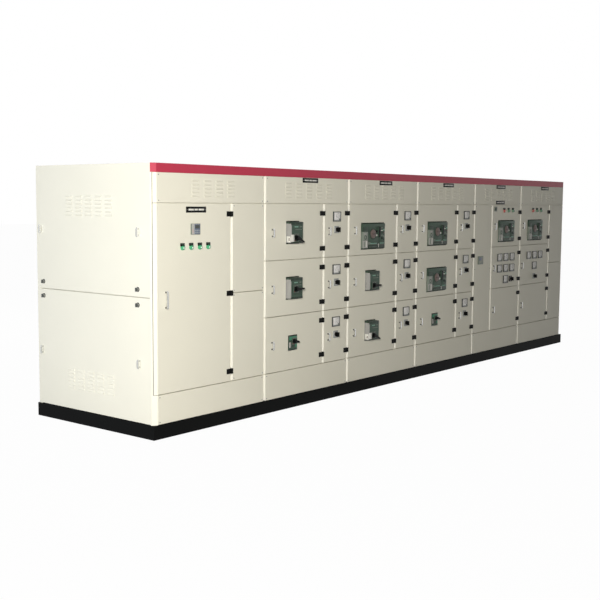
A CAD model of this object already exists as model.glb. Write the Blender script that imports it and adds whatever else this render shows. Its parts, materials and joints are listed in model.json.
"""Looks of the low-voltage main switchboard: paint, instruments, breaker fronts, labels and light."""
import json
import math

import bmesh
import bpy
import numpy as np
from mathutils import Matrix, Vector

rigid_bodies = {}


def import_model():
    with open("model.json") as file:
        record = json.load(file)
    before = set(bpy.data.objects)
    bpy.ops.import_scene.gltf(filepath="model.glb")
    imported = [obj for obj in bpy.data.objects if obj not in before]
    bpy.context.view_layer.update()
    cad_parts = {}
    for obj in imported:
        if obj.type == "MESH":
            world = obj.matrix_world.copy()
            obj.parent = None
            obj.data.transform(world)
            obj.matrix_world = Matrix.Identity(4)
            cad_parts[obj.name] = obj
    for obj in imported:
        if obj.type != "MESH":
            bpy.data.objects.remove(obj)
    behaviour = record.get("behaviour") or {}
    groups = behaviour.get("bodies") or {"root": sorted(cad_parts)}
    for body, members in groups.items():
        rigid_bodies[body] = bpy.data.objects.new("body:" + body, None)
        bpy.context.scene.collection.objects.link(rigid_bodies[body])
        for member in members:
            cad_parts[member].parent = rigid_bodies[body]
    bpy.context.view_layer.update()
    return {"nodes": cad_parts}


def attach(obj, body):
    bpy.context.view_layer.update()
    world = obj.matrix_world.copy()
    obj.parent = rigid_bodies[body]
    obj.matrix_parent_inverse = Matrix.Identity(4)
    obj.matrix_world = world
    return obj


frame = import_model()
nodes = frame["nodes"]

# Sizes of the row in millimetres: x from its left end, y from the door fronts, z from the floor
WIDTHS = [1280, 1200, 1200, 1200, 1130, 1230]
EDGES = [sum(WIDTHS[:i]) for i in range(7)]
SPLITS = [EDGES[s] + x for s, x in enumerate((867, 820, 820, 820, 412, 800))]  # between a section's bays
LENGTH, DEPTH = EDGES[6], 1420
PLINTH, KICK, HEAD, FASCIA = 110, 343, 1809, 2040  # tops of the plinth, kick panels, doors and headers
COVER_SEAM = 1090  # between the lower and upper covers of the rear and the ends
ROW = (HEAD - KICK) / 3
ROWS = ["bottom", "middle", "top"]
POST, SIDE_GAP, ROW_GAP = 45, 15, 3.5  # corner post, and half of the gap beside and above a door


def bay(s, b):
    """Left and right edges of the door or panel in bay b of section s."""
    if b == 0:
        return (POST if s == 0 else EDGES[s] + SIDE_GAP, SPLITS[s] - SIDE_GAP)
    return (SPLITS[s] + SIDE_GAP, LENGTH - POST if s == 5 else EDGES[s + 1] - SIDE_GAP)


def bay_mid(s, b):
    return sum(bay(s, b)) / 2


def door_bay(s):
    """The bay of a section that holds its breakers behind doors."""
    return 1 if s == 4 else 0


def row_lo(r):
    return KICK + r * ROW


def row_mid(r):
    return row_lo(r) + ROW / 2


def row_z(r):
    return (row_lo(r) + ROW_GAP, row_lo(r + 1) - ROW_GAP)


CONTROL_Z = (KICK + ROW_GAP, HEAD - ROW_GAP)


def has_acb(s, r):
    return (r == 2 and s > 1) or (s == 3 and r == 1)


def is_small(s, r):
    return r == 0 and s != 2


def metres(p):
    """A point of the row's own millimetres in the shared frame."""
    return Vector(((p[0] - LENGTH / 2) / 1000, (p[1] - DEPTH / 2) / 1000, p[2] / 1000))


def rgb(r, g, b):
    """A colour read as 0 to 255 values, as the shaders take it."""
    lin = [c / 255 / 12.92 if c <= 10 else ((c / 255 + 0.055) / 1.055) ** 2.4 for c in (r, g, b)]
    return (*lin, 1.0)


def linked(name, data):
    """A new object in the scene."""
    made = bpy.data.objects.new(name, data)
    bpy.context.scene.collection.objects.link(made)
    return made


# ---------------------------------------------------------------- materials

class Tree:
    """A node tree, with short calls that add nodes and join them."""

    def __init__(self, tree):
        self.tree = tree

    def node(self, kind, settings=None, inputs=None):
        made = self.tree.nodes.new(kind)
        for key, value in (settings or {}).items():
            setattr(made, key, value)
        for key, value in (inputs or {}).items():
            self.put(made.inputs[key], value)
        return made

    def put(self, socket, value):
        if isinstance(value, Num):
            value = value.socket
        if isinstance(value, bpy.types.NodeSocket):
            self.tree.links.new(value, socket)
        else:
            socket.default_value = value

    def math(self, operation, a, b):
        return self.node("ShaderNodeMath", {"operation": operation}, {0: a, 1: b}).outputs[0]


class Num:
    """A number that varies over a surface, for shader maths written as Python."""

    def __init__(self, finish, socket):
        self.finish, self.socket = finish, socket

    def _math(self, operation, a, b):
        return Num(self.finish, self.finish.math(operation, a, b))

    def __add__(self, o): return self._math("ADD", self, o)
    def __radd__(self, o): return self._math("ADD", o, self)
    def __sub__(self, o): return self._math("SUBTRACT", self, o)
    def __rsub__(self, o): return self._math("SUBTRACT", o, self)
    def __mul__(self, o): return self._math("MULTIPLY", self, o)
    def __rmul__(self, o): return self._math("MULTIPLY", o, self)

    def clamp(self):
        return Num(self.finish, self.finish.node("ShaderNodeClamp", {}, {0: self}).outputs[0])


class Finish(Tree):
    """One material round a Principled shader, with its patterns on Object coordinates."""

    def __init__(self, name, colour, rough, metallic=0.0, coat=0.0, specular=0.5):
        self.mat = bpy.data.materials.new(name)
        self.mat.use_nodes = True
        super().__init__(self.mat.node_tree)
        self.shader = self.tree.nodes["Principled BSDF"]
        self.place = self.tree.nodes.new("ShaderNodeTexCoord").outputs["Object"]
        self.set("Base Color", colour)
        self.set("Roughness", rough)
        self.set("Metallic", metallic)
        self.set("Coat Weight", coat)
        self.set("Specular IOR Level", specular)
        self.mat.diffuse_color = colour

    def set(self, name, value):
        self.put(self.shader.inputs[name], value)

    def noise(self, scale, detail=2.0, rough=0.5, stretch=None):
        where = self.place
        if stretch:
            where = self.node("ShaderNodeMapping", {}, {"Vector": where, "Scale": stretch}).outputs[0]
        made = self.node("ShaderNodeTexNoise", {}, {"Vector": where, "Scale": scale, "Detail": detail,
                                                    "Roughness": rough})
        return Num(self, made.outputs[0])

    def cells(self, scale):
        return self.node("ShaderNodeTexVoronoi", {}, {"Vector": self.place, "Scale": scale})

    def blend(self, factor, a, b):
        return self.node("ShaderNodeMix", {"data_type": "RGBA"}, {0: factor, 6: a, 7: b}).outputs[2]

    def bump(self, height, strength, distance):
        made = self.node("ShaderNodeBump", {}, {"Strength": strength, "Distance": distance,
                                                "Height": height})
        self.set("Normal", made.outputs[0])

    def axis(self, index):
        return Num(self, self.node("ShaderNodeSeparateXYZ", {}, {0: self.place}).outputs[index])


def powder_coat(name, colour, rough=0.36, peel=0.05, soil=0.03, specular=0.5):
    """Baked powder paint: orange peel, slow waves of the sheet and a little dust near the floor."""
    f = Finish(name, colour, rough, specular=specular)
    slow = f.noise(1.7, 3.0, 0.55)
    fine = f.noise(420, 1.0)
    darker = tuple(c * 0.88 for c in colour[:3]) + (1,)
    dusty = tuple(c * k for c, k in zip(colour[:3], (0.80, 0.77, 0.72))) + (1,)
    low = (1 - f.axis(2) * 1.6).clamp() * f.noise(9, 4.0, 0.6)
    tone = f.blend(((slow - 0.35) * 0.55).clamp(), colour, darker)
    f.set("Base Color", f.blend((low * soil * 6).clamp(), tone, dusty))
    f.set("Roughness", rough + (fine - 0.5) * 0.10 + (slow - 0.5) * 0.08)
    f.bump(fine * 0.35 + f.noise(95, 2.0) * 0.65, peel, 0.0006)
    return f.mat


def moulded(name, colour, rough=0.45, grain=650, depth=0.10, mottle=0.12, specular=0.3):
    """Moulded plastic with a fine spark-eroded grain."""
    f = Finish(name, colour, rough, specular=specular)
    grainy = f.noise(grain, 2.0, 0.6)
    worn = f.noise(28, 3.0, 0.6)
    darker = tuple(c * (1 - mottle) for c in colour[:3]) + (1,)
    f.set("Base Color", f.blend((worn * 1.3 - 0.25).clamp(), darker, colour))
    f.set("Roughness", rough + (grainy - 0.5) * 0.14)
    f.bump(grainy, depth, 0.0004)
    return f.mat


def plated(name, colour, rough=0.3, brush=0.0, streak=(1, 1, 1)):
    """Plated or bare metal, with polish marks along the streak."""
    f = Finish(name, colour, rough, metallic=1.0)
    lines = f.noise(240, 2.0, 0.5, streak)
    smear = f.noise(11, 4.0, 0.6)
    dull = tuple(c * 0.80 for c in colour[:3]) + (1,)
    f.set("Base Color", f.blend((smear * 1.2 - 0.3).clamp(), colour, dull))
    f.set("Roughness", rough + (smear - 0.5) * 0.16 + (lines - 0.5) * brush)
    f.bump(lines, 0.05 + brush * 0.3, 0.0002)
    return f.mat


def spangled(name, colour):
    """Zinc-coated sheet with its crystal pattern."""
    f = Finish(name, colour, 0.42, metallic=0.85)
    crystal = f.node("ShaderNodeRGBToBW", {}, {0: f.cells(70).outputs["Color"]}).outputs[0]
    grain = Num(f, crystal)
    darker = tuple(c * 0.78 for c in colour[:3]) + (1,)
    f.set("Base Color", f.blend(grain, colour, darker))
    f.set("Roughness", 0.34 + grain * 0.18)
    f.bump(f.noise(160, 2.0), 0.04, 0.0003)
    return f.mat


def copper_bar(name):
    """Rolled copper bar with heat tint and dull patches."""
    f = Finish(name, rgb(190, 116, 82), 0.34, metallic=1.0)
    patches = f.noise(5, 5.0, 0.62)
    rolled = f.noise(60, 2.0, 0.5, (1, 6, 6))
    bright, dull = rgb(201, 127, 90), rgb(134, 74, 52)
    f.set("Base Color", f.blend(((patches - 0.42) * 3).clamp(), bright, dull))
    f.set("Roughness", 0.28 + patches * 0.22)
    f.bump(rolled, 0.08, 0.0002)
    return f.mat


def lens(name, colour, glow):
    """Coloured lens of a signal lamp, moulded with fine facets inside."""
    f = Finish(name, colour, 0.16, coat=0.3)
    facets = Num(f, f.cells(600).outputs["Distance"])
    bright = tuple(min(1, c * 1.9 + 0.05) for c in colour[:3]) + (1,)
    f.set("Base Color", f.blend((facets * 1.4).clamp(), colour, bright))
    f.set("Emission Color", colour)
    f.set("Emission Strength", glow)
    f.bump(facets, 0.25, 0.0004)
    return f.mat


def printed(name, ground, rough=0.4, specular=0.4):
    """Plain printed or engraved plate without any lettering."""
    f = Finish(name, ground, rough, specular=specular)
    fibre = f.noise(300, 2.0)
    off = tuple(c * 0.9 for c in ground[:3]) + (1,)
    f.set("Base Color", f.blend(fibre, ground, off))
    f.set("Roughness", rough + (fibre - 0.5) * 0.1)
    f.bump(fibre, 0.04, 0.0002)
    return f.mat


def rubber(name, colour):
    f = Finish(name, colour, 0.75)
    pores = f.noise(900, 2.0)
    light = tuple(min(1, c * 1.7 + 0.01) for c in colour[:3]) + (1,)
    f.set("Base Color", f.blend(f.noise(45, 3.0), colour, light))
    f.set("Roughness", 0.66 + pores * 0.2)
    f.bump(pores, 0.2, 0.0005)
    return f.mat


cream = powder_coat("cream_powder_coat", rgb(232, 230, 216), specular=0.3)
crimson = powder_coat("crimson_powder_coat", rgb(180, 50, 75), rough=0.34, soil=0.0, specular=0.3)
plinth_black = powder_coat("black_plinth_paint", rgb(9, 10, 10), rough=0.6, peel=0.09, soil=0.01,
                           specular=0.05)
hinge_black = moulded("black_hinge_paint", rgb(11, 12, 11), rough=0.42, grain=380, specular=0.08)
zinc = spangled("zinc_sheet", rgb(178, 181, 183))
copper = copper_bar("copper_bar")
red_insulator = moulded("brown_red_insulator", rgb(112, 42, 32), rough=0.5, grain=200, mottle=0.25)
can_metal = plated("drawn_aluminium", rgb(196, 198, 200), rough=0.32, brush=0.1, streak=(6, 6, 1))
chrome = plated("chrome_plate", rgb(212, 213, 212), rough=0.2)
leg_metal = plated("dull_chrome_legs", rgb(128, 130, 128), rough=0.42)
steel = plated("zinc_plated_steel", rgb(176, 178, 176), rough=0.34, brush=0.12)
control_black = moulded("black_control_plastic", rgb(13, 14, 14), rough=0.33, grain=520, depth=0.06,
                        specular=0.12)
housing_green = moulded("green_grey_housing", rgb(66, 86, 73), rough=0.48, mottle=0.3)
housing_dark = moulded("dark_green_housing", rgb(40, 54, 44), rough=0.5, mottle=0.25)
housing_grey = moulded("light_grey_housing", rgb(176, 174, 172), rough=0.44, mottle=0.06)
cheek_grey = moulded("cool_grey_cheek", rgb(158, 158, 156), rough=0.44, mottle=0.1)
face_grey = moulded("grey_green_face", rgb(112, 120, 112), rough=0.42, mottle=0.08)
column_grey = moulded("pale_green_grey_column", rgb(142, 151, 141), rough=0.42, mottle=0.10)
boss_dark = moulded("brown_grey_boss_bar", rgb(92, 76, 74), rough=0.36, grain=260, mottle=0.2)
boss_brown = moulded("brown_grey_boss", rgb(116, 100, 95), rough=0.36, grain=260, mottle=0.2)
plate_grey = moulded("pale_selector_plate", rgb(158, 163, 163), rough=0.4, mottle=0.05)
housing_jade = moulded("light_green_housing", rgb(74, 140, 112), rough=0.42, mottle=0.3)
button_red = moulded("red_push_button", rgb(176, 34, 30), rough=0.3, mottle=0.05)
lens_green = lens("green_lamp_lens", rgb(34, 124, 82), 0.06)
lens_red = lens("red_lamp_lens", rgb(178, 54, 44), 0.08)
lens_dim_green = lens("dim_green_lamp_lens", rgb(66, 104, 80), 0.02)
lens_dim_red = lens("dim_red_lamp_lens", rgb(142, 58, 50), 0.02)
lens_amber = lens("amber_lamp_core", rgb(226, 150, 118), 0.15)
lens_white = lens("clear_lamp_core", rgb(214, 238, 222), 0.25)
dial_white = printed("white_dial_card", rgb(250, 249, 248), 0.5)
label_white = printed("white_label_strip", rgb(226, 226, 220), 0.45)
label_green = printed("pale_green_strip", rgb(126, 168, 150), 0.45)
label_black = printed("black_label_plate", rgb(15, 15, 15), 0.34, 0.12)
display = printed("grey_blue_display", rgb(104, 116, 136), 0.2)
seal = rubber("grey_door_seal", rgb(60, 60, 60))
meter_frame = moulded("dark_grey_meter_frame", rgb(74, 77, 76), rough=0.34, grain=520, depth=0.05)
edge_cream = powder_coat("pale_cream_edge_paint", rgb(254, 253, 245), rough=0.4, soil=0.0)


def window(name):
    """Thin clear window over a dial."""
    f = Finish(name, rgb(245, 248, 248), 0.06)
    f.set("Alpha", 0.06)
    smear = f.noise(70, 3.0)
    f.set("Roughness", 0.03 + smear * 0.08)
    return f.mat


clear_window = window("clear_dial_window")

# ---------------------------------------------------------------- shapes

class Shape:
    """Solids gathered into one mesh, in the row's own millimetres."""

    def __init__(self):
        self.bm = bmesh.new()
        self.mats = []

    def _slot(self, mat):
        if mat not in self.mats:
            self.mats.append(mat)
        return self.mats.index(mat)

    def _close(self, verts, faces, mat, bevel=0.0, smooth=False):
        made = [self.bm.verts.new(v) for v in verts]
        index = self._slot(mat)
        got = []
        for f in faces:
            face = self.bm.faces.new([made[i] for i in f])
            face.material_index, face.smooth = index, smooth
            got.append(face)
        bmesh.ops.recalc_face_normals(self.bm, faces=got)
        if bevel:
            edges = list(dict.fromkeys(e for f in got for e in f.edges))
            bmesh.ops.bevel(self.bm, geom=edges, offset=bevel, segments=2, profile=0.5, affect="EDGES",
                            material=index, clamp_overlap=True)

    def box(self, x, y, z, mat, bevel=0.0):
        verts = [(x[i], y[j], z[k]) for k in (0, 1) for j in (0, 1) for i in (0, 1)]
        faces = [(0, 1, 3, 2), (4, 5, 7, 6), (0, 1, 5, 4), (2, 3, 7, 6), (0, 2, 6, 4), (1, 3, 7, 5)]
        self._close(verts, faces, mat, bevel)

    def block(self, x, z, w, h, y, mat, bevel=0.0):
        """A box round a centre on the front, between two depths."""
        self.box((x - w / 2, x + w / 2), y, (z - h / 2, z + h / 2), mat, bevel)

    def prism(self, points, axis, span, mat, bevel=0.0):
        """A closed outline swept along axis 0, 1 or 2."""
        def at(p, t):
            return [(t, p[0], p[1]), (p[0], t, p[1]), (p[0], p[1], t)][axis]
        n = len(points)
        verts = [at(p, span[0]) for p in points] + [at(p, span[1]) for p in points]
        faces = [tuple(range(n)), tuple(range(n, 2 * n))]
        faces += [(i, (i + 1) % n, n + (i + 1) % n, n + i) for i in range(n)]
        self._close(verts, faces, mat, bevel)

    def turned(self, centre, axis, profile, mat, sides=32):
        """A profile of (radius, place along the axis) turned round that axis; both ends close on it."""
        rings, verts, faces = [], [], []
        for r, t in profile:
            count = sides if r > 1e-6 else 1
            ring = []
            for i in range(count):
                a = 2 * math.pi * i / sides
                c, s = r * math.cos(a), r * math.sin(a)
                p = [(t, c, s), (c, t, s), (c, s, t)][axis]
                ring.append(len(verts))
                verts.append(tuple(p[k] + centre[k] for k in range(3)))
            rings.append(ring)
        for a, b in zip(rings, rings[1:]):
            for i in range(sides):
                j = (i + 1) % sides
                quad = [a[i % len(a)], a[j % len(a)], b[j % len(b)], b[i % len(b)]]
                faces.append(tuple(dict.fromkeys(quad)))
        if len(rings[0]) > 1:
            faces.append(tuple(rings[0]))
        if len(rings[-1]) > 1:
            faces.append(tuple(rings[-1]))
        self._close(verts, [f for f in faces if len(f) > 2], mat, smooth=True)

    def ring(self, centre, axis, profile, mat, sides=32):
        """A profile that closes on itself, turned round an axis."""
        self.turned(centre, axis, profile + profile[:1], mat, sides)

    def knob(self, x, z, r, y, mat, edge=1.0, sides=32):
        """A button or boss that stands out of the front from y[1] to y[0]."""
        self.turned((x, 0, z), 1, [
            (0, y[1]), (r, y[1]), (r, y[0] + edge), (r - edge * 0.3, y[0] + edge * 0.3),
            (r - edge, y[0]), (0, y[0])], mat, sides)

    def piece(self, name, body, slot):
        mesh = bpy.data.meshes.new(name)
        for v in self.bm.verts:
            v.co = metres(v.co)
        # Bevels leave the faces in another order each run, so they are put in a fixed one
        fixed = sorted(self.bm.faces, key=lambda f: sorted(tuple(v.co) for v in f.verts))
        rank = {f: i for i, f in enumerate(fixed)}
        self.bm.faces.sort(key=rank.get)
        self.bm.to_mesh(mesh)
        self.bm.free()
        for m in self.mats:
            mesh.materials.append(m)
        mesh.set_sharp_from_angle(angle=math.radians(34))
        made = linked(name, mesh)
        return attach(made, body)


# ---------------------------------------------------------------- repeated pieces by geometry nodes

class Nodes(Tree):
    """A geometry node tree with named inputs for its sizes."""

    def __init__(self, name, inputs):
        super().__init__(bpy.data.node_groups.new(name, "GeometryNodeTree"))
        face = self.tree.interface
        face.new_socket("Geometry", in_out="INPUT", socket_type="NodeSocketGeometry")
        for key, value in inputs.items():
            kind = "NodeSocketInt" if isinstance(value, int) else "NodeSocketFloat"
            face.new_socket(key, in_out="INPUT", socket_type=kind).default_value = value
        face.new_socket("Geometry", in_out="OUTPUT", socket_type="NodeSocketGeometry")
        self.input = self.tree.nodes.new("NodeGroupInput")
        self.output = self.tree.nodes.new("NodeGroupOutput")

    def vector(self, x=0.0, y=0.0, z=0.0):
        return self.node("ShaderNodeCombineXYZ", {}, {0: x, 1: y, 2: z}).outputs[0]

    def named(self, key, kind="FLOAT"):
        return self.node("GeometryNodeInputNamedAttribute", {"data_type": kind}, {"Name": key}).outputs[0]

    def painted(self, geometry, mat):
        return self.node("GeometryNodeSetMaterial", {}, {0: geometry, "Material": mat}).outputs[0]

    def finish(self, geometry):
        real = self.node("GeometryNodeRealizeInstances", {}, {0: geometry}).outputs[0]
        self.tree.links.new(real, self.output.inputs[0])

    def ids(self):
        return {i.name: i.identifier for i in self.tree.interface.items_tree if i.in_out == "INPUT"}


def baked(source, tree, values, name, body):
    """Runs a node tree on a carrier mesh and keeps the result as one plain mesh."""
    holder = linked(name + "_carrier", source)
    mod = holder.modifiers.new("nodes", "NODES")
    mod.node_group = tree.tree
    for key, value in values.items():
        mod[tree.ids()[key]] = value
    ready = holder.evaluated_get(bpy.context.evaluated_depsgraph_get())
    mesh = bpy.data.meshes.new_from_object(ready)
    mesh.name = name
    bpy.data.objects.remove(holder)
    made = linked(name, mesh)
    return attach(made, body)


def screw_tree(metal, recess):
    """Pan-head screws on points: a low dome with a crossed recess, turned to each point's direction."""
    g = Nodes("pan_head_screws", {"Head radius": 0.005, "Head height": 0.0022, "Sides": 14})
    radius, height, sides = (g.input.outputs[k] for k in ("Head radius", "Head height", "Sides"))
    top = g.node("GeometryNodeMeshCylinder", {}, {"Vertices": sides, "Radius": radius, "Depth": height})
    half = g.math("MULTIPLY", radius, 0.62)
    up = g.vector(z=g.math("MULTIPLY", height, 0.85))
    crown = g.node("GeometryNodeMeshCylinder", {}, {"Vertices": sides, "Radius": half, "Depth": height})
    crown = g.node("GeometryNodeTransform", {}, {0: crown.outputs["Mesh"], "Translation": up}).outputs[0]
    head = g.node("GeometryNodeJoinGeometry")
    for part in (top.outputs["Mesh"], crown):
        g.tree.links.new(part, head.inputs[0])
    long_side, short_side, deep = (
        g.math("MULTIPLY", size, k) for size, k in ((half, 1.5), (half, 0.34), (height, 1.04)))
    cross = g.node("GeometryNodeJoinGeometry")
    for a, b in ((long_side, short_side), (short_side, long_side)):
        bar = g.node("GeometryNodeMeshCube", {}, {"Size": g.vector(a, b, deep)}).outputs[0]
        bar = g.node("GeometryNodeTransform", {}, {0: bar, "Translation": up}).outputs[0]
        g.tree.links.new(bar, cross.inputs[0])
    screw = g.node("GeometryNodeJoinGeometry")
    for part in (g.painted(head.outputs[0], metal), g.painted(cross.outputs[0], recess)):
        g.tree.links.new(part, screw.inputs[0])
    turn = g.node("FunctionNodeAlignRotationToVector", {"axis": "Z"},
                  {"Vector": g.named("facing", "FLOAT_VECTOR")}).outputs[0]
    spin = g.node("FunctionNodeRandomValue", {"data_type": "FLOAT"}, {2: 0.0, 3: 6.28, "Seed": 11}).outputs[1]
    turn = g.node("FunctionNodeRotateRotation", {"rotation_space": "LOCAL"},
                  {0: turn, 1: g.vector(z=spin)}).outputs[0]
    spread = g.node("GeometryNodeInstanceOnPoints", {}, {
        "Points": g.input.outputs["Geometry"], "Instance": screw.outputs[0], "Rotation": turn}).outputs[0]
    g.finish(spread)
    return g


def points_mesh(name, points):
    """Bare points with the direction that each one faces."""
    mesh = bpy.data.meshes.new(name)
    mesh.from_pydata([metres(p) for p, _ in points], [], [])
    facing = mesh.attributes.new("facing", "FLOAT_VECTOR", "POINT")
    facing.data.foreach_set("vector", [c for _, d in points for c in d])
    return mesh


def tick_tree(ink):
    """Scale marks round an arc: one thin bar on each point, turned by its own angle."""
    g = Nodes("scale_ticks", {"Tick length": 0.006, "Tick width": 0.0009, "Tick thickness": 0.0003})
    size = g.vector(*[g.input.outputs["Tick " + k] for k in ("width", "thickness", "length")])
    bar = g.node("GeometryNodeMeshCube", {}, {"Size": size}).outputs[0]
    spread = g.node("GeometryNodeInstanceOnPoints", {}, {
        "Points": g.input.outputs["Geometry"], "Instance": bar, "Rotation": g.vector(y=g.named("lean")),
        "Scale": g.vector(1.0, 1.0, g.named("grow"))}).outputs[0]
    g.finish(g.painted(spread, ink))
    return g


def ticks_mesh(name, ticks):
    """Points with a lean angle and a length factor, for the tick tree."""
    mesh = bpy.data.meshes.new(name)
    mesh.from_pydata([metres(t[0]) for t in ticks], [], [])
    mesh.attributes.new("lean", "FLOAT", "POINT").data.foreach_set("value", [t[1] for t in ticks])
    mesh.attributes.new("grow", "FLOAT", "POINT").data.foreach_set("value", [t[2] for t in ticks])
    return mesh


def sweep_tree(rubbery):
    """A flat strip swept along an edge loop, such as a door seal."""
    g = Nodes("swept_seal", {"Width": 0.009, "Height": 0.005})
    loop = g.node("GeometryNodeMeshToCurve", {}, {0: g.input.outputs["Geometry"]}).outputs[0]
    shape = g.node("GeometryNodeCurvePrimitiveQuadrilateral", {"mode": "RECTANGLE"}, {
        0: g.input.outputs["Width"], 1: g.input.outputs["Height"]}).outputs[0]
    shape = g.node("GeometryNodeFilletCurve", {"mode": "POLY"},
                   {0: shape, "Count": 2, "Radius": 0.0018}).outputs[0]
    tube = g.node("GeometryNodeCurveToMesh", {}, {0: loop, 1: shape}).outputs[0]
    g.finish(g.painted(tube, rubbery))
    return g


screws = screw_tree(steel, control_black)
hinge_screws = screw_tree(hinge_black, control_black)
ticks = tick_tree(label_black)
seals = sweep_tree(seal)

# ---------------------------------------------------------------- finishes of the CAD nodes

def corners_of(node):
    """The row's own millimetres of each vertex of a node."""
    mesh = nodes[node].data
    co = np.empty(len(mesh.vertices) * 3)
    mesh.vertices.foreach_get("co", co)
    co = co.reshape(-1, 3) * 1000
    co[:, 0] += LENGTH / 2
    co[:, 1] += DEPTH / 2
    return co


SLACK = 0.06  # millimetres by which a zone reaches past its faces


def paint(node, base, *zones):
    """Gives a node its finish, and another one to the faces that lie wholly in a zone."""
    mesh = nodes[node].data
    mesh.materials.clear()
    mesh.materials.append(base)
    index = np.zeros(len(mesh.polygons), dtype=np.int32)
    if zones:
        co = corners_of(node)
        loops = np.empty(len(mesh.loops), dtype=np.int64)
        mesh.loops.foreach_get("vertex_index", loops)
        starts = np.empty(len(mesh.polygons), dtype=np.int64)
        mesh.polygons.foreach_get("loop_start", starts)
        for mat, box in zones:
            if mat.name not in [m.name for m in mesh.materials]:
                mesh.materials.append(mat)
            slot = [m.name for m in mesh.materials].index(mat.name)
            lo = np.array([b[0] for b in box]) - SLACK
            hi = np.array([b[1] for b in box]) + SLACK
            inside = ((co >= lo) & (co <= hi)).all(axis=1)
            whole = np.logical_and.reduceat(inside[loops], starts)
            index[whole] = slot
    mesh.polygons.foreach_set("material_index", index)
    mesh.update()


def around(x, z, w, h, y):
    return ((x - w / 2, x + w / 2), y, (z - h / 2, z + h / 2))


METER_W, METER_H, METER_OUT, METER_BACK = 110, 92, 12, 63
SELECTOR_W, SELECTOR_OUT, SELECTOR_BACK = 66, 8, 56
METER_DROP, SELECTOR_DROP = 116, 236  # from the top of an instrument door's row to their middles
LAMP_W, LAMP_H, LAMP_OUT, LAMP_BACK = 42, 76, 19, 43
LAMPS, LAMP_Z = [305 + k * 95 for k in range(4)], HEAD - 345  # on the control door
CONTROLLER = (446, HEAD - 202, 96, 86)  # middle, width and height
RELAY = (bay(4, 0)[0] + 134, KICK + 835)
HINGE_END, LEAF_IN, KNUCKLE_IN, LEAF_OUT, HINGE_H = 82, 45, 16, 13, 44
PULL_W, PULL_OUT, LEG_OUT = 14, 29, 19.9


def hinge_heights(lo, hi, count):
    return [lo + HINGE_END + k * (hi - lo - 2 * HINGE_END) / (count - 1) for k in range(count)]


def meter_zone(x, z):
    return (meter_frame, around(x, z, METER_W, METER_H, (-METER_OUT, METER_BACK)))


def selector_zone(x, z, plate=plate_grey):
    return (plate, around(x, z, SELECTOR_W, SELECTOR_W, (-SELECTOR_OUT, SELECTOR_BACK)))


def lamp_zone(x, z):
    return (control_black, around(x, z, LAMP_W, LAMP_H, (-LAMP_OUT, LAMP_BACK)))


def edge_zone(x, z):
    """The folded left edge of a door or panel, where the spray lies thickest."""
    return (edge_cream, ((x, x + 2.1), (0, 27), z))


def door_zones(x, z, hinges=2, pull_in=60, pull_l=80):
    """Left edge, hinge leaves and bow pull of a door, and the pull's legs last because they lie in it."""
    zones = [edge_zone(x[0], z)]
    zones += [(hinge_black, ((x[1] - LEAF_IN, x[1] + KNUCKLE_IN), (-LEAF_OUT, -0.3),
                             (h - HINGE_H / 2, h + HINGE_H / 2))) for h in hinge_heights(*z, hinges)]
    mid = (z[0] + z[1]) / 2 - 6
    zones += [(metal, around(x[0] + pull_in, mid, PULL_W, pull_l + 1, (-out, -0.2)))
              for metal, out in ((chrome, PULL_OUT), (leg_metal, LEG_OUT))]
    return zones


def meters_of(s):
    """Meter places on the middle door of the incomer and outgoing sections."""
    mid, found = bay_mid(s, door_bay(s)), []
    for j, drop in enumerate((129, 260, 393)):
        for i in range(3):
            if j == 0 or (j == 1 and (s == 4 or i == 1)) or (s == 4 and i == 1):
                found.append((mid + (i - 1) * 155, row_lo(2) - drop))
    return found


def selector_of(s):
    return (bay_mid(s, door_bay(s)) + (130 if s == 4 else 0), row_lo(2) - 393)


def lamps_of(s):
    return [(bay_mid(s, door_bay(s)) + 40 + k * 110, HEAD - 70) for k in (-1, 0, 1)]


for node, finish in {"plinth": plinth_black, "frame": cream, "rear_covers": cream, "roof_covers": cream,
                     "top_fascia": crimson, "partitions": zinc, "busbars": copper,
                     "busbar_supports": red_insulator, "air_circuit_breakers": housing_green,
                     "moulded_case_breakers": housing_green, "hinge_frame_leaves": hinge_black}.items():
    paint(node, finish)
panel_edges = [edge_zone(bay(s, 0)[0], z) for s in range(6)
               for z in ((HEAD + ROW_GAP, FASCIA), (PLINTH, KICK - ROW_GAP))]
panel_edges += [edge_zone(x, (KICK, HEAD)) for x in (bay(0, 1)[0], bay(4, 0)[0], bay(5, 1)[0])]
paint("front_panels", cream, *panel_edges,
      (face_grey, around(*RELAY, METER_W, METER_H, (-METER_OUT, METER_BACK))))
paint("capacitor_bank", can_metal, (control_black, ((100, 860), (340, 482), (1300, 1450))))
side_pulls = [(chrome, (x, (y - 8, y + 8), (z - 40, z + 40)))
              for x in ((-PULL_OUT, -0.2), (LENGTH + 0.2, LENGTH + PULL_OUT))
              for y in (153.5, 1356.5) for z in (575, 1588)]
paint("side_covers", cream, *side_pulls)
paint("control_door", cream, *door_zones(bay(0, 0), CONTROL_Z, 3, 83, 140),
      (face_grey, around(*CONTROLLER, (-METER_OUT, METER_BACK))), *[lamp_zone(x, LAMP_Z) for x in LAMPS])
for s in (1, 2, 3):
    for r in range(3):
        paint(f"breaker_door_{s + 1}_{ROWS[r]}", cream, *door_zones(bay(s, 0), row_z(r), pull_in=80))
        x, top = bay_mid(s, 1), row_lo(r + 1)
        paint(f"instrument_door_{s + 1}_{ROWS[r]}", cream, *door_zones(bay(s, 1), row_z(r), pull_in=58),
              meter_zone(x, top - METER_DROP), selector_zone(x, top - SELECTOR_DROP))
MAIN_DOORS = ((4, "incomer_door_"), (5, "outgoing_door_"))
LAMP_COLOURS = [lens_dim_red, lens_dim_green, lens_dim_green]
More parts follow.
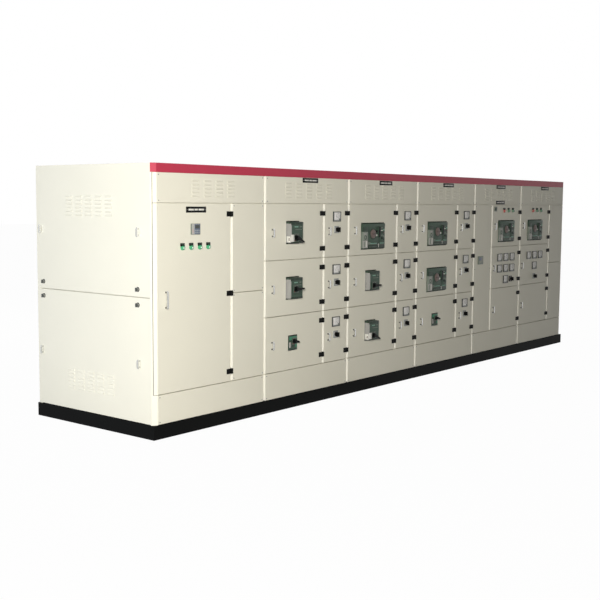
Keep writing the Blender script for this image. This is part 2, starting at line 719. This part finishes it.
for s, name in MAIN_DOORS:
    x = bay(s, door_bay(s))
    paint(name + "bottom", cream, *door_zones(x, row_z(0), pull_in=50))
    paint(name + "middle", cream, *door_zones(x, row_z(1), pull_in=40),
          *[meter_zone(*m) for m in meters_of(s)],
          selector_zone(*selector_of(s), control_black if s == 4 else plate_grey))
    paint(name + "top", cream, *door_zones(x, row_z(2), pull_in=50), *[lamp_zone(*p) for p in lamps_of(s)])
for node in nodes:
    if node.startswith(("selector_knob", "breaker_handle")):
        paint(node, control_black)

locks = []
for node in nodes:
    if node.startswith("cover_lock"):
        co = corners_of(node)
        y, z = co[co[:, 0] < -11.5][:, 1:].mean(axis=0)
        locks.append((y, z))
        paint(node, steel, (meter_frame, ((-24.1, -11.1), (y - 6.1, y + 6.1), (z - 14.1, z + 14.1))))

# ---------------------------------------------------------------- dials, lamps and plates on the doors

def meter_face(shape, marks, x, z, lean):
    """White dial with a quarter-arc scale, a hand, a dark foot and a clear window."""
    y, w, h = 2.2 - METER_OUT, METER_W - 15, METER_H - 15
    shape.block(x, z, w, h, (y - 0.5, y), dial_white, 0.3)
    shape.block(x, z - h / 2 + 5, w, 9, (y - 1.2, y - 0.4), plate_grey, 0.3)
    shape.block(x + w / 2 - 11, z - h / 2 + 10, 20, 18, (y - 1.8, y - 0.4), column_grey, 0.5)
    shape.knob(x + w / 2 - 11, z - h / 2 + 10, 4.2, (y - 2.6, y - 1.0), control_black, 0.5, 16)
    px, pz = x + w / 2 - 12, z - h / 2 + 15
    c, n = math.cos(math.radians(lean)), math.sin(math.radians(lean))
    tx, tz = px + 52 * n, pz + 52 * c
    hand = [(px - c, pz + n), (px + c, pz - n), (tx + c * 0.3, tz - n * 0.3), (tx - c * 0.3, tz + n * 0.3)]
    shape.prism(hand, 1, (y - 1.7, y - 1.2), label_black)
    for k in range(19):
        t = math.radians(-86 + k * 82 / 18)
        r, grow = (55, 0.7) if k % 3 else (57, 1.2)
        marks.append(((px + r * math.sin(t), y - 0.6, pz + r * math.cos(t)), t, grow))
    shape.block(x, z, w + 1, h + 1, (-METER_OUT - 0.4, 0.4 - METER_OUT), clear_window, 0.2)
    out = (-METER_OUT - 0.8, -METER_OUT + 1)
    for side in (-1, 1):
        shape.block(x + side * (METER_W / 2 - 3), z, 5.8, METER_H - 0.2, out, meter_frame, 0.8)
        shape.block(x, z + side * (METER_H / 2 - 3), METER_W - 0.2, 5.8, out, meter_frame, 0.8)


def selector_face(shape, marks, x, z):
    """Raised escutcheon round the selector, with three position marks."""
    y = -SELECTOR_OUT
    shape.ring((x, 0, z), 1, [(21.4, y + 0.2), (26.5, y + 0.2), (25.5, y - 1.6), (22, y - 1.6)], housing_grey)
    for k in (-1, 0, 1):
        t = math.radians(45 * k)
        marks.append(((x + 29 * math.sin(t), y - 0.15, z + 29 * math.cos(t)), t, 0.7))


def lamp_face(shape, x, z, colour, core):
    """Dome, bezel ring and bare tag of one signal lamp."""
    shape.turned((x, 0, z), 1, [(0, -8.8), (17.3, -8.8), (17.3, -11), (15.4, -15), (14.8, -18.4),
                                (10, -20.8), (5, -21.8), (0, -22)], colour, 28)
    shape.turned((x, 0, z - 1), 1, [(0, -20.5), (6, -20.5), (5.2, -22.6), (2.6, -23.2), (0, -23.3)], core, 20)
    shape.ring((x, 0, z), 1, [(17.4, -2), (19.7, -2), (19.1, -8.2), (17.4, -8.7)], colour, 28)
    shape.block(x, z + 24, LAMP_W, 24, (-9.4, -0.1), control_black, 1.2)
    shape.block(x, z + 28, 32, 12, (-9.9, -9.2), housing_dark, 0.2)


def label_plate(shape, x, z, w, h):
    """Engraved black plate with bare light strips and two pins."""
    shape.block(x, z, w, h, (-2.2, -0.1), label_black, 0.6)
    for middle, length in ((-0.245, 0.27), (0.005, 0.17), (0.255, 0.27)):
        shape.block(x + w * middle, z, w * length, h * 0.28, (-2.5, -2.0), label_white, 0.1)
    for side in (-1, 1):
        shape.knob(x + side * (w / 2 - 9), z, 3.0, (-3.4, -2.0), steel, 0.8, 12)


def door_face(name, build):
    """One mesh for what is fixed to a door, and one for its scale marks."""
    shape, marks = Shape(), []
    build(shape, marks)
    shape.piece(name + "_face", name, "control_black")
    if marks:
        baked(ticks_mesh(name, marks), ticks, {}, name + "_marks", name)


def control_face(shape, marks):
    x, z, w, h = CONTROLLER
    label_plate(shape, 459, 1759, 222, 47)
    y = -METER_OUT
    shape.block(x, z, w - 4, h - 4, (y - 1.5, y + 1), housing_grey, 1.2)
    shape.block(x + 13, z, 62, 76, (y - 3.0, y - 1.0), display, 1.4)
    shape.block(x + 13, z + 18, 50, 28, (y - 3.6, y - 2.6), meter_frame, 0.5)
    for i in range(3):
        for j in range(2):
            shape.block(x - 5 + i * 18, z - 10 - j * 15, 12, 8, (y - 4.4, y - 2.8), plate_grey, 0.8)
    for k, colour in enumerate((lens_green, lens_green, lens_red, lens_red)):
        shape.knob(x - 34, z + 24 - k * 15, 2.6, (y - 2.6, y - 1.2), colour, 0.8, 12)
    for lamp in LAMPS:
        lamp_face(shape, lamp, LAMP_Z, lens_green, lens_white)


door_face("control_door", control_face)
LEANS = [-52, -38, -61, -44, -33, -57, -48, -66, -41]  # lean of each meter's hand, in degrees
for s in (1, 2, 3):
    for r in range(3):
        x, top = bay_mid(s, 1), row_lo(r + 1)

        def build(shape, marks, x=x, top=top, lean=LEANS[(s - 1) * 3 + r]):
            meter_face(shape, marks, x, top - METER_DROP, lean)
            selector_face(shape, marks, x, top - SELECTOR_DROP)
        door_face(f"instrument_door_{s + 1}_{ROWS[r]}", build)
for s, name in MAIN_DOORS:
    def build_middle(shape, marks, s=s):
        for k, (x, z) in enumerate(meters_of(s)):
            meter_face(shape, marks, x, z, LEANS[(k + s) % 9])
        selector_face(shape, marks, *selector_of(s))

    def build_top(shape, marks, s=s):
        for (x, z), colour in zip(lamps_of(s), LAMP_COLOURS):
            lamp_face(shape, x, z, colour, face_grey if colour is lens_dim_green else lens_amber)
        if s == 4:
            x, z = bay(4, 1)[0] + 63, HEAD - 48
            shape.block(x, z, 58, 56, (-7, -0.1), face_grey, 1.5)
            shape.block(x, z, 44, 30, (-8, -6.5), housing_dark, 0.6)
    door_face(name + "middle", build_middle)
    door_face(name + "top", build_top)

# ---------------------------------------------------------------- fixed labels, relay and breaker fronts

fixed = Shape()
for x in (1898, 3096, 4297, 5491, 6661):
    label_plate(fixed, x, 2016, 222, 42)
label_plate(fixed, 5484, 1837, 214, 42)
fixed.piece("header_labels", "switchboard", "hinge_black")

seams = Shape()


def corner_at(side, share, out):
    """A point on the faceted corner, out of its face by some millimetres."""
    x, y = 40 * share - out * 0.545, 26 * (1 - share) - out * 0.839
    return (x if side < 0 else LENGTH - x, y)


for side in (-1, 1):
    for a, b, z in ((0.26, 0.36, (KICK + 2, FASCIA - 2)), (0.27, 0.98, (HEAD - 2, HEAD + 2)),
                    (0.27, 0.98, (KICK - 1.5, KICK + 1.5))):
        outline = [corner_at(side, share, out) for share, out in ((a, 0.5), (b, 0.5), (b, -0.5), (a, -0.5))]
        seams.prism(outline, 2, z, seal)
seams.piece("corner_seam_strips", "switchboard", "hinge_black")

rings = Shape()
for y, z in locks:
    rings.ring((0, y, z), 0, [(15.4, -0.1), (19.5, -0.1), (18.5, -3.4), (16, -3.4)], meter_frame)
rings.piece("cover_lock_rings", "switchboard", "hinge_black")

relay = Shape()
x, z = RELAY
y = -METER_OUT
relay.block(x, z, METER_W - 4, METER_H - 4, (y - 1.6, y + 1), column_grey, 1.5)
relay.block(x - 8, z + 16, 62, 34, (y - 2.4, y - 1.2), display, 0.6)
for k in range(4):
    relay.block(x - 31 + k * 18, z - 20, 12, 9, (y - 3.2, y - 1.4), housing_grey, 0.8)
for k, colour in enumerate((lens_green, lens_red, lens_red)):
    relay.knob(x + 34, z + 28 - k * 12, 2.4, (y - 2.6, y - 1.4), colour, 0.7, 12)
relay.piece("protection_relay_face", "switchboard", "breaker_housing")

ACB_W, ACB_H, ACB_OUT = 375, 240, 14
ACB_LEFT, ACB_DOWN = 10, 63  # from the middle of its door


def acb_face(name, x, z):
    """Front of a draw-out air breaker: racking column, boss, charging lever, buttons and bare strips."""
    f, y = Shape(), -ACB_OUT
    left, low, high = x - ACB_W / 2, z - ACB_H / 2, z + ACB_H / 2

    def plate(x0, x1, z0, z1, out, back, mat, bevel):
        f.box((left + x0, left + x1), (y - out, y + back), (z0, z1), mat, bevel)

    plate(1, 374, high - 30, high - 1, 4, 1, housing_green, 1.5)
    plate(1, 86, z + 44, high - 32, 2.5, 1, housing_dark, 1.5)
    for k in range(3):
        plate(8, 78, z + 54 + k * 14, z + 60 + k * 14, 3.2, -2, housing_green, 0.5)
    plate(3, 84, z - 40, z + 42, 5, 1, column_grey, 2.5)
    plate(3, 84, low + 5, z - 42, 4, 1, housing_grey, 2.0)
    f.box((left - 0.8, left + 1), (y + 1, -0.5), (low + 5, z + 42), column_grey, 0.4)
    plate(52, 66, low + 14, z - 46, 6.5, -3, label_white, 1.0)
    plate(12, 40, low + 14, z - 54, 5, -3, column_grey, 1.0)
    f.ring((left + 40, 0, z - 12), 1, [(16, y - 4.6), (20, y - 6.4), (15, y - 6.4), (11, y + 4)],
           housing_dark, 28)
    f.knob(left + 40, z - 12, 11, (y + 3.0, y + 4.0), control_black, 0.4)
    f.block(left + 40, z + 22, 50, 14, (y - 6, y - 4), housing_grey, 0.8)
    f.box((left + 91, left + 278), (y + 2, y + 5.5), (low + 24, high - 42), housing_green, 1.0)
    for k in range(6):
        plate(98, 122, z + 66 - k * 8, z + 70 - k * 8, 0.5, 3, housing_dark, 0.5)
    plate(92, 128, low + 40, low + 62, 2, 3, face_grey, 1.0)
    boss = (left + 175.5, 0, z + 20)
    f.turned(boss, 1, [(0, y - 12), (12, y - 12), (15, y - 9), (34, y - 8), (38, y - 6), (41, y - 6),
                       (45, y - 2), (46, y + 5), (0, y + 5)], boss_brown, 40)
    f.ring(boss, 1, [(46.5, y + 4), (52, y + 4), (51, y - 2), (47.5, y - 2)], housing_dark, 40)
    f.block(boss[0], boss[2], 52, 11, (y - 13.5, y - 8), boss_dark, 2.5)
    f.knob(left + 233.5, z + 44, 9.5, (y - 8, y + 4), control_black, 1.2)
    f.knob(left + 233.5, z + 6, 9.5, (y - 6, y + 4), label_white, 1.2)
    lever = ((255, -14), (282, -14), (288, 60), (284, 88), (262, 88))
    f.prism([(left + dx, z + dz) for dx, dz in lever], 1, (y - 15, y), control_black, 2.5)
    plate(292, 371, z - 62, high - 34, 3, 1, housing_green, 1.5)
    for k, mat in enumerate((face_grey, label_white, housing_dark, face_grey)):
        f.block(left + 322, z + 76 - k * 24, 30, 10, (y - 4.5, y - 2), mat, 0.8)
    for dx, dz, r, mat, edge in ((322, -24, 10, control_black, 1.0), (352, 58, 9, label_green, 1.2),
                                 (352, 30, 8, boss_dark, 1.2)):
        f.knob(left + dx, z + dz, r, (y - 8, y - 2), mat, edge)
    f.block(left + 352, z - 4, 22, 18, (y - 4, y - 2), face_grey, 0.8)
    f.block(left + 352, z - 34, 22, 22, (y - 4, y - 2), housing_dark, 0.8)
    plate(90, 371, low + 3, low + 34, 3, 1, housing_dark, 1.5)
    plate(92, 371, low + 34, low + 38, 3.4, -2.6, face_grey, 0.4)
    for x0, x1 in ((128, 236), (292, 358)):
        plate(x0, x1, low + 44, low + 52, 4.2, -2, label_green, 0.4)
    plate(262, 268, low + 8, low + 44, 4.5, -2, label_white, 0.4)
    for k in range(6):
        f.block(left + 112 + k * 22, low + 16, 10, 7, (y - 4.2, y - 2), face_grey, 0.4)
    f.piece(name, "switchboard", "breaker_housing")


SMALL_BREAKER, LARGE_BREAKER = (112, 120, 4), (165, 184, 48)  # width, height and reach out of the door


def mccb_face(name, x, z, size, hub_x, hub_z, white_block):
    """Front of a moulded-case breaker: end covers, cheeks, a plate for the handle and bare tags."""
    f, (w, h, out), large = Shape(), size, size == LARGE_BREAKER
    y, left, right, low, high = -out, x - w / 2, x + w / 2, z - h / 2, z + h / 2
    ends, grooves = (housing_dark, housing_green) if large else (housing_green, housing_dark)

    def plate(x0, x1, z0, z1, out, back, mat, bevel):
        f.box((x0, x1), (y - out, y + back), (z0, z1), mat, bevel)

    plate(left - 0.4, right + 0.4, high - 24, high + 0.4, 1.5, 22, ends, 1.6)
    plate(left - 0.4, right + 0.4, low - 0.4, low + 16, 1.5, 22, ends, 1.6)
    for k in range(1, 3):
        gap = left + k * w / 3
        plate(gap - 1.6, gap + 1.6, high - 22, high - 2, 2.4, 0, grooves, 0.5)
        plate(gap - 1.6, gap + 1.6, low + 2, low + 14, 2.4, 0, grooves, 0.5)
    hub, base = (62, y - 6) if large else (52, y - 8)
    if large:
        f.box((left - 1.2, left + 0.8), (y - 1, 100), (low + 3, high - 14), cheek_grey, 0.5)
        plate(left, left + 8, low + 10, high - 28, 2.5, 1, cheek_grey, 1.5)
        for k in range(5):
            plate(left - 1.8, left, z - 60 + k * 30, z - 54 + k * 30, -8, 40, cheek_grey, 0.5)
        if white_block:
            plate(left + 2, left + 32, low + 12, low + 74, 12, 0, label_white, 2.0)
            plate(left - 2.6, left, low + 8, low + 60, -4, 46, label_white, 0.8)
            plate(left - 3.2, left - 2, low + 20, low + 44, -14, 24, boss_brown, 0.4)
    else:
        plate(left + 1, left + 26, low + 18, z + 6, 2.5, 1, housing_grey, 1.0)
        plate(left + 3, right - 3, high - 34, high - 3, 3, 1, housing_jade, 1.2)
        plate(right - 24, right - 3, low + 18, high - 36, 2.5, 1, housing_jade, 1.0)
    for k in range(4):
        step = z + k * h * 0.055
        plate(x - w * 0.26, x + w * 0.42, step - h * 0.30, step - h * 0.28, 1.4, 1, housing_dark, 0.4)
    tag_z = high - 42
    if large:
        f.block(x - w * 0.05, tag_z, w * 0.3, 9, (y - 1.2, y), label_green, 0.4)
        f.block(x + w * 0.32, tag_z, w * 0.18, 9, (y - 1.2, y), face_grey, 0.4)
        f.block(x + w * 0.14, tag_z - 24, w * 0.56, 5, (y - 1.0, y), face_grey, 0.3)
    f.block(hub_x, hub_z, hub + 8, hub + 8, (base - 0.7, base + 0.4), face_grey, 0.6)
    f.block(hub_x, hub_z, hub + 2, hub + 2, (base - 1.2, base + 0.4), housing_dark, 1.2)
    f.block(hub_x, hub_z + hub * 0.40, hub * 0.8, 7, (base - 2.0, base - 0.8), face_grey, 0.4)
    f.ring((hub_x, 0, hub_z), 1, [(hub * 0.36, base - 0.8), (hub * 0.43, base - 0.8),
                                  (hub * 0.41, base - 2.6), (hub * 0.36, base - 2.6)], control_black)
    for dx, mat in ((-hub * 0.36, button_red), (hub * 0.36, label_green)):
        f.block(hub_x + dx, hub_z - hub * 0.40, 6, 4, (base - 1.8, base - 0.8), mat, 0.3)
    f.piece(name, "switchboard", "breaker_housing")


for s in (1, 2, 3, 4, 5):
    for r in range(3):
        if has_acb(s, r):
            acb_face(f"air_breaker_front_{s + 1}_{ROWS[r]}", bay_mid(s, door_bay(s)) - ACB_LEFT,
                     row_mid(r) - ACB_DOWN)
        elif s < 4:
            size, aside, hub_dx = (SMALL_BREAKER, 27, 8) if is_small(s, r) else (LARGE_BREAKER, 35, -14)
            hub_dz = 15 if is_small(s, r) else -45 if (r == 2 or s == 2) else -5
            x, z = bay_mid(s, 0) - aside, row_mid(r) - 6
            mccb_face(f"moulded_breaker_front_{s + 1}_{ROWS[r]}", x, z, size, x + hub_dx, z + hub_dz,
                      (s, r) in ((1, 2), (2, 0)))

# ---------------------------------------------------------------- screws and seals

FRONT, REAR, RIGHT = (0, -1, 0), (0, 1, 0), (1, 0, 0)
middle = (HEAD + KICK) / 2
panel_screws = []


def screw_panel(x0, x1, inset, heights):
    """Screws down both sides of a fixed front panel."""
    panel_screws.extend(((x, -1, z), FRONT) for x in (x0 + inset, x1 - inset) for z in heights)


for s in range(6):
    screw_panel(bay(s, 0)[0], bay(s, 1)[1], 16,
                (HEAD + ROW_GAP + 16, FASCIA - 17, KICK - ROW_GAP - 16, PLINTH + 19))
for s in (0, 5):
    screw_panel(*bay(s, 1), 14, (KICK + 20, middle - 20, middle + 20, HEAD - 20))
screw_panel(*bay(4, 0), 14, (KICK + 20, middle, HEAD - 20))
for s in range(6):
    x0 = POST if s == 0 else EDGES[s] + 3
    x1 = LENGTH - POST if s == 5 else EDGES[s + 1] - 3
    for lo, hi in ((115, COVER_SEAM - ROW_GAP), (COVER_SEAM + ROW_GAP, 2098)):
        for x in (x0 + 18, (x0 + x1) / 2, x1 - 18):
            for z in (lo + 18, (lo + hi) / 2, hi - 18):
                if x != (x0 + x1) / 2 or z != (lo + hi) / 2:
                    panel_screws.append(((x, DEPTH + 1, z), REAR))
for y in (60, 350, 710, 1070, 1360):
    for z in (140, COVER_SEAM - 26, COVER_SEAM + 26, 2074):
        panel_screws.append(((LENGTH + 1, y, z), RIGHT))
baked(points_mesh("panel_screws", panel_screws), screws, {"Head radius": 0.0052}, "panel_screws",
      "switchboard")

doors = {"control_door": (bay(0, 0), CONTROL_Z, 3)}
for s in (1, 2, 3):
    for r in range(3):
        doors[f"breaker_door_{s + 1}_{ROWS[r]}"] = (bay(s, 0), row_z(r), 2)
        doors[f"instrument_door_{s + 1}_{ROWS[r]}"] = (bay(s, 1), row_z(r), 2)
for r in range(3):
    doors[f"incomer_door_{ROWS[r]}"] = (bay(4, 1), row_z(r), 2)
    doors[f"outgoing_door_{ROWS[r]}"] = (bay(5, 0), row_z(r), 2)
SEAL_INSET, SEAL_Y = 9, 20
for name, (x, z, count) in doors.items():
    heads = [((x[1] - 31 + dx, -7.2, h + dz), FRONT) for h in hinge_heights(*z, count)
             for dx in (0, 18) for dz in (-12, 12)]
    baked(points_mesh(name, heads), hinge_screws, {"Head radius": 0.0036, "Head height": 0.0018, "Sides": 10},
          name + "_hinge_screws", name)
    loop = bpy.data.meshes.new(name + "_loop")
    x0, x1, z0, z1 = x[0] + SEAL_INSET, x[1] - SEAL_INSET, z[0] + SEAL_INSET, z[1] - SEAL_INSET
    ring = [metres((px, SEAL_Y, pz)) for px, pz in ((x0, z0), (x1, z0), (x1, z1), (x0, z1))]
    loop.from_pydata(ring, [(0, 1), (1, 2), (2, 3), (3, 0)], [])
    baked(loop, seals, {"Width": 0.009, "Height": 0.007}, name + "_seal", name)

# ---------------------------------------------------------------- camera, floor and light

scene = bpy.context.scene
scene.view_settings.view_transform = "Standard"
cam = linked("camera", bpy.data.cameras.new("camera"))
EYE, LENS = (-8.751, -6.286, 1.8185), 59.89
HEADING, DOWN, ROLL = -51.03, 5.568, 0.402  # degrees
cam.data.lens, cam.data.sensor_width, cam.data.clip_end = LENS, 36, 200
view = Matrix.Translation(EYE)
for degrees, axis in ((HEADING, "Z"), (90 - DOWN, "X"), (ROLL, "Z")):
    view = view @ Matrix.Rotation(math.radians(degrees), 4, axis)
cam.matrix_world = view
scene.camera = cam


def white_seen(tree, lit, white, out, share=1.0):
    """Sends a shader out, mixed with plain white for the camera and for what metal and glass show."""
    ray = tree.node("ShaderNodeLightPath").outputs
    mirrored = tree.math("MAXIMUM", ray["Is Glossy Ray"], ray["Is Transmission Ray"])
    seen = tree.math("MAXIMUM", ray["Is Camera Ray"], mirrored)
    mix = tree.node("ShaderNodeMixShader", {}, {0: tree.math("MULTIPLY", seen, share), 1: lit, 2: white})
    tree.put(out, mix.outputs[0])


scene.world = bpy.data.worlds.new("studio")
scene.world.use_nodes = True
studio = Tree(scene.world.node_tree)
ambient = studio.tree.nodes["Background"]
studio.put(ambient.inputs["Color"], (0.97, 0.99, 0.6, 1))
studio.put(ambient.inputs["Strength"], 0.015)
white = studio.node("ShaderNodeBackground", {}, {"Color": (1, 1, 1, 1), "Strength": 1.0})
white_seen(studio, ambient.outputs[0], white.outputs[0], studio.tree.nodes["World Output"].inputs[0])

FLOOR_HALF = 60
floor_mesh = bpy.data.meshes.new("floor")
corners = [(FLOOR_HALF * i, FLOOR_HALF * j, -0.001) for i, j in ((-1, -1), (1, -1), (1, 1), (-1, 1))]
floor_mesh.from_pydata(corners, [], [(0, 1, 2, 3)])
floor = linked("floor", floor_mesh)
pale = Finish("pale_floor", (0.36, 0.36, 0.36, 1), 0.9, specular=0.1)
glow = pale.node("ShaderNodeEmission", {}, {"Strength": 1.0})
white_seen(pale, pale.shader.outputs[0], glow.outputs[0], pale.tree.nodes["Material Output"].inputs[0], 0.98)
floor_mesh.materials.append(pale.mat)


def soft_light(name, at, aim, size, power, colour):
    lamp = bpy.data.lights.new(name, "AREA")
    lamp.shape, lamp.size, lamp.size_y = "RECTANGLE", *size
    lamp.energy, lamp.color = power, colour
    made = linked(name, lamp)
    made.location = at
    made.rotation_euler = (Vector(aim) - Vector(at)).to_track_quat("-Z", "Y").to_euler()


soft_light("key", (-8.6, -5.9, 2.5), (-5.0, -0.7, 1.1), (1.5, 1.2), 730, (1.0, 0.965, 0.905))
soft_light("side", (-9.5, 0.6, 2.2), (-3.6, 0.2, 1.0), (1.8, 2.4), 127, (0.74, 0.83, 1.0))
soft_light("rear", (0.0, 8.0, 4.5), (0, 0.7, 1.0), (6.0, 2.0), 400, (1.0, 1.0, 1.0))
